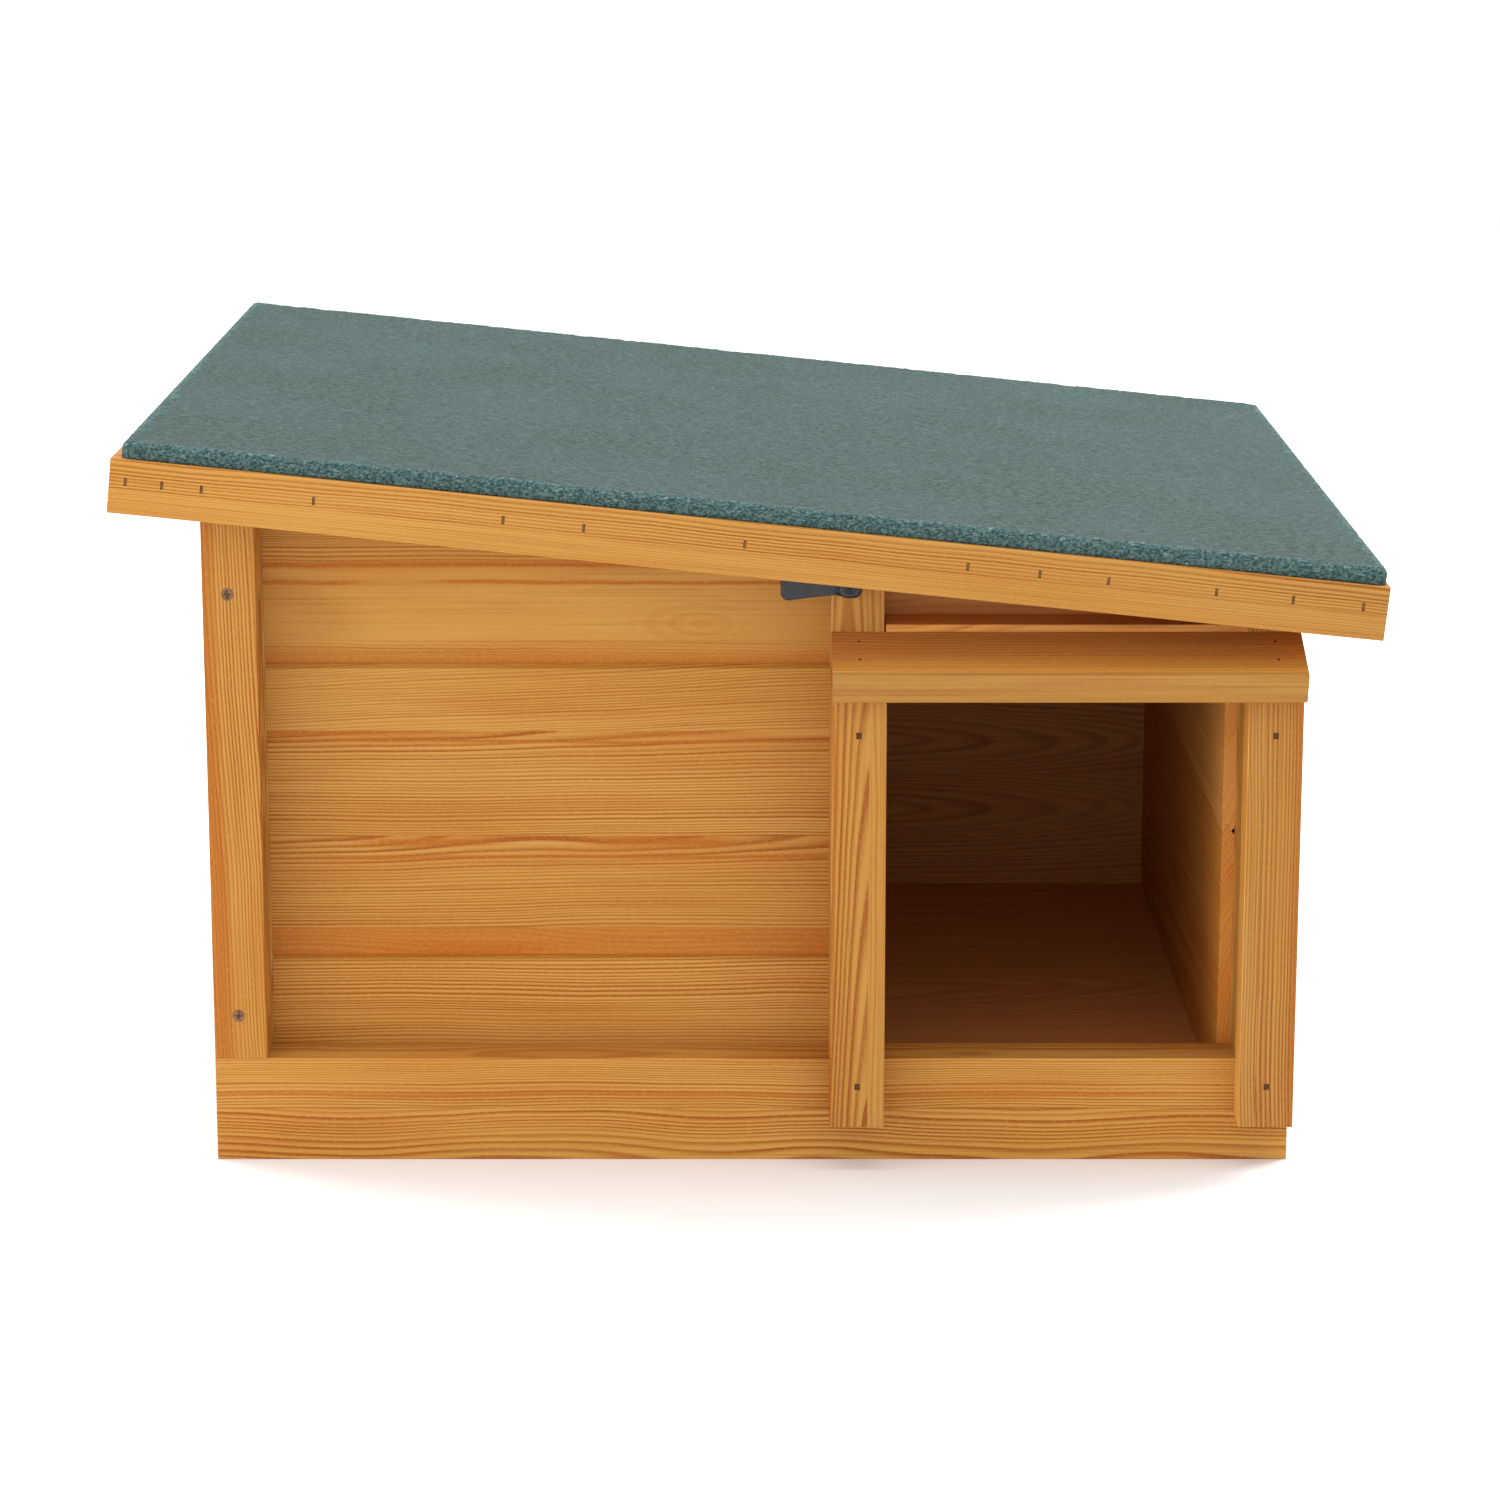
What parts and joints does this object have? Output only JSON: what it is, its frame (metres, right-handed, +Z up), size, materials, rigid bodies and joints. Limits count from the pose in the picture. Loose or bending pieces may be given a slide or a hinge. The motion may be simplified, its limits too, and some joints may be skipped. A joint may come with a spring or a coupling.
{
  "type": "wooden nesting box",
  "caption": "Wooden nesting box on a plinth: boarded frame walls, porch over a square entrance, felted mono-pitch roof hinged at the back, and a turn button.",
  "frame": {"origin": "on the ground, under the middle of the whole object's outline", "axes": "+X to the right as the entrance front is faced, down the roof's slope; +Y from the front to the hinged back; +Z up"},
  "size_m": [0.7784, 0.7124, 0.4667],
  "materials": {
    "stained_pine": "satin orange-brown stain over planed pine, growth rings showing",
    "floor_wood": "dark red-brown stained panel, matt",
    "roof_sheet": "bare sheet under the felt",
    "mineral_felt": "grey-green mineral roofing felt, rough",
    "dark_plastic": "dark grey moulded nylon",
    "plated_steel": "dull yellow-zinc plated steel"
  },
  "bodies": {
    "root": {"plinth_front": "stained_pine", "plinth_back": "stained_pine", "plinth_left": "stained_pine", "plinth_right": "stained_pine", "floor_panel": "floor_wood", "floor_bearers": "stained_pine", "front_bottom_rail": "stained_pine", "front_left_stile": "stained_pine", "front_mid_stile": "stained_pine", "front_right_stile": "stained_pine", "front_header_rail": "stained_pine", "front_top_rail_left": "stained_pine", "front_top_rail_right": "stained_pine", "left_front_stile": "stained_pine", "left_back_stile": "stained_pine", "left_bottom_rail": "stained_pine", "left_top_rail": "stained_pine", "right_front_stile": "stained_pine", "right_back_stile": "stained_pine", "right_bottom_rail": "stained_pine", "right_top_rail": "stained_pine", "back_bottom_rail": "stained_pine", "back_left_stile": "stained_pine", "back_mid_stile": "stained_pine", "back_right_stile": "stained_pine", "back_top_rail": "stained_pine", "front_board_lower": "stained_pine", "front_board_middle": "stained_pine", "front_board_upper": "stained_pine", "front_board_over_entrance": "stained_pine", "left_board_lower": "stained_pine", "left_board_middle": "stained_pine", "left_board_upper": "stained_pine", "right_board_lower": "stained_pine", "right_board_upper": "stained_pine", "back_board_lower": "stained_pine", "back_board_middle": "stained_pine", "back_board_upper": "stained_pine", "porch_post_mid": "stained_pine", "porch_post_right": "stained_pine", "canopy_board": "stained_pine", "turn_button_screw": "plated_steel", "frame_screws": "plated_steel", "porch_nails": "plated_steel", "canopy_nails": "plated_steel", "hinge_wall_leaves": "plated_steel", "hinge_pins": "plated_steel", "hinge_wall_screws": "plated_steel"},
    "roof": {"roof_deck": "roof_sheet", "roof_felt": "mineral_felt", "fascia_front": "stained_pine", "fascia_back": "stained_pine", "fascia_left": "stained_pine", "fascia_right": "stained_pine", "roof_batten_front": "stained_pine", "roof_batten_back": "stained_pine", "fascia_nails": "plated_steel", "hinge_roof_leaves": "plated_steel", "hinge_roof_screws": "plated_steel"},
    "turn_button": {"turn_button": "dark_plastic"}
  },
  "joints": [
    {"name": "roof_hinge", "type": "hinge", "parent": "root", "child": "roof", "pos_m": [-0.00381, 0.3145, 0.3812], "axis": [-0.9948, 0, 0.1019], "range_deg": [0, 95]},
    {"name": "turn_button_pivot", "type": "hinge", "parent": "root", "child": "turn_button", "pos_m": [0.0604, -0.3148, 0.372], "axis": [0, 1, 0], "range_deg": [-45, 60]}
  ]
}
